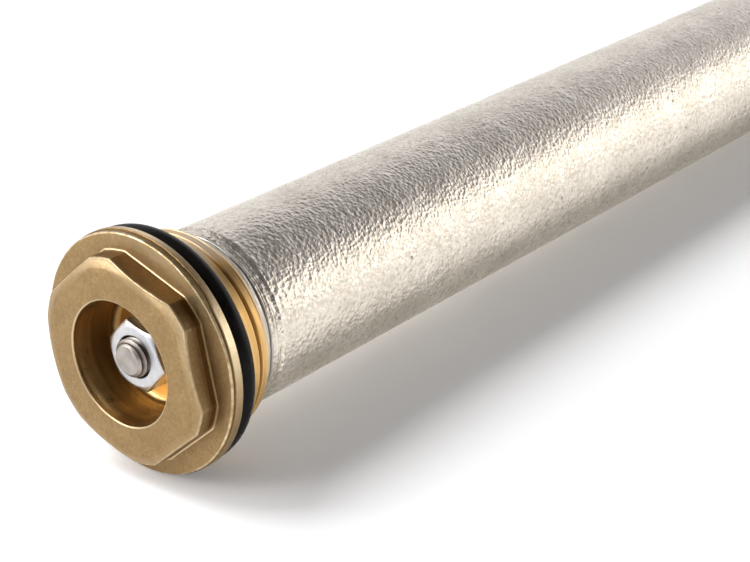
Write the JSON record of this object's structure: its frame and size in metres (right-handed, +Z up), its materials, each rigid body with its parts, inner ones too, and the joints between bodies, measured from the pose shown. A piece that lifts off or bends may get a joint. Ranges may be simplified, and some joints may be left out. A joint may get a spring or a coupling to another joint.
{
  "type": "water heater anode rod",
  "caption": "Sacrificial magnesium bar on a steel core, held by a brass hexagon screw-in plug with a sealing ring and a recessed nut.",
  "frame": {"origin": "on the rod's axis, where the plug's full thread starts behind the sealing ring", "axes": "+X along the rod's axis, from the plug towards the bar's far end; +Z up with the rod lying on its side"},
  "size_m": [0.4207, 0.0498, 0.0498],
  "materials": {
    "brass": "forged matt brass, turned on the thread",
    "rubber": "smooth black rubber",
    "magnesium": "bright crinkled cast magnesium",
    "steel": "plain steel",
    "zinc": "zinc plated"
  },
  "bodies": {
    "root": {"plug": "brass", "sealing_ring": "rubber", "anode_rod": "magnesium", "core_stud": "steel", "hex_nut": "zinc"}
  },
  "joints": []
}
